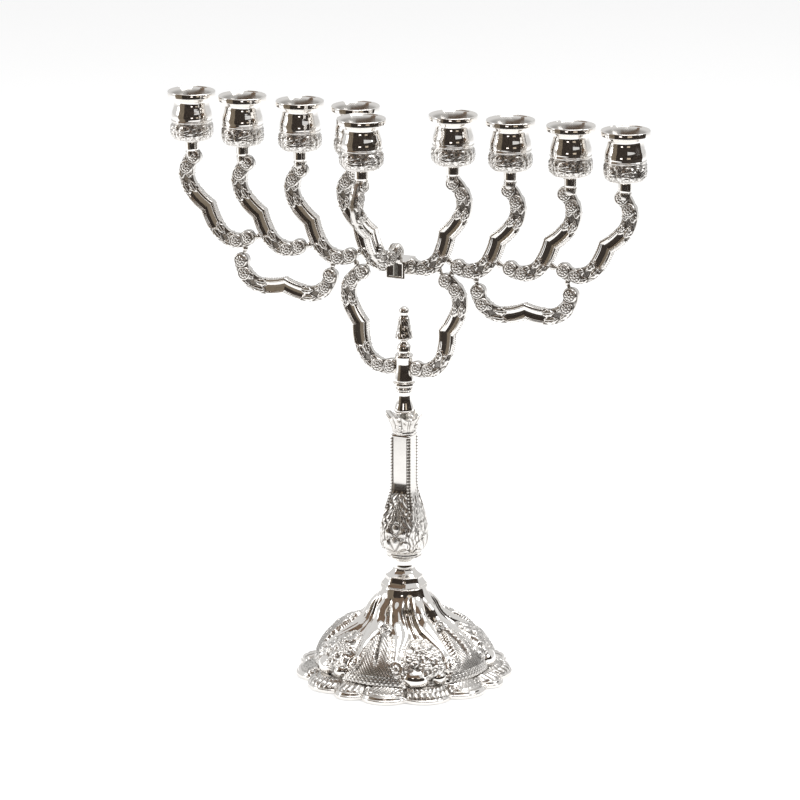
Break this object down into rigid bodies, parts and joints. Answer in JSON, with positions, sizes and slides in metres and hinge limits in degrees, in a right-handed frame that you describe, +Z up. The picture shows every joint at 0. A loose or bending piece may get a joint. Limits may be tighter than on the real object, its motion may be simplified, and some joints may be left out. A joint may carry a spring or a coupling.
{
  "type": "nine-branch menorah",
  "caption": "Cast silver-plated Hanukkah lamp: a straight row of candle cups on scrolled arms, with a shamash cup in front, on a lobed foot.",
  "frame": {"origin": "on the stem's axis, in the plane that the foot stands on", "axes": "+Z up, the row of cups along X, the shamash cup towards -Y"},
  "size_m": [0.3532, 0.1509, 0.4026],
  "materials": {
    "silvered_castings": "silver plate, polished on the flutes and blackened in the relief",
    "silvered_turnings": "silver plate, polished",
    "base_sheet": "rolled sheet",
    "steel_hardware": "plain steel"
  },
  "bodies": {
    "base": {"foot": "silvered_castings", "base_plate": "base_sheet", "tie_rod": "steel_hardware", "tie_rod_washer": "steel_hardware", "tie_rod_nut": "steel_hardware", "octagonal_collar": "silvered_turnings", "neck_ring": "silvered_turnings", "stem": "silvered_castings", "stem_crown": "silvered_castings", "vase_neck": "silvered_turnings", "bearing_disc": "silvered_turnings", "finial": "silvered_turnings"},
    "branches": {"hub": "silvered_turnings", "link_pins": "steel_hardware", "centre_block": "silvered_turnings", "shamash_pivot_pin": "steel_hardware", "row_cup_screws": "steel_hardware", "main_arm_left": "silvered_castings", "bracket_arm_left": "silvered_castings", "candle_arm_left_1": "silvered_castings", "cup_stud_left_1": "silvered_turnings", "cup_left_1": "silvered_castings", "candle_arm_left_2": "silvered_castings", "cup_stud_left_2": "silvered_turnings", "cup_left_2": "silvered_castings", "candle_arm_left_3": "silvered_castings", "cup_stud_left_3": "silvered_turnings", "cup_left_3": "silvered_castings", "candle_arm_left_4": "silvered_castings", "cup_stud_left_4": "silvered_turnings", "cup_left_4": "silvered_castings", "main_arm_right": "silvered_castings", "bracket_arm_right": "silvered_castings", "candle_arm_right_1": "silvered_castings", "cup_stud_right_1": "silvered_turnings", "cup_right_1": "silvered_castings", "candle_arm_right_2": "silvered_castings", "cup_stud_right_2": "silvered_turnings", "cup_right_2": "silvered_castings", "candle_arm_right_3": "silvered_castings", "cup_stud_right_3": "silvered_turnings", "cup_right_3": "silvered_castings", "candle_arm_right_4": "silvered_castings", "cup_stud_right_4": "silvered_turnings", "cup_right_4": "silvered_castings"},
    "shamash": {"shamash_arm": "silvered_castings", "shamash_cup_stud": "silvered_turnings", "shamash_cup": "silvered_castings", "shamash_cup_screw": "steel_hardware"}
  },
  "joints": [
    {"name": "branch_turn", "type": "hinge", "parent": "base", "child": "branches", "pos_m": [0, 0, 0.215], "axis": [0, 0, 1], "continuous": true},
    {"name": "shamash_swing", "type": "hinge", "parent": "branches", "child": "shamash", "pos_m": [0, -0.0135, 0.3], "axis": [0, 0, 1], "range_deg": [-35, 55]}
  ]
}
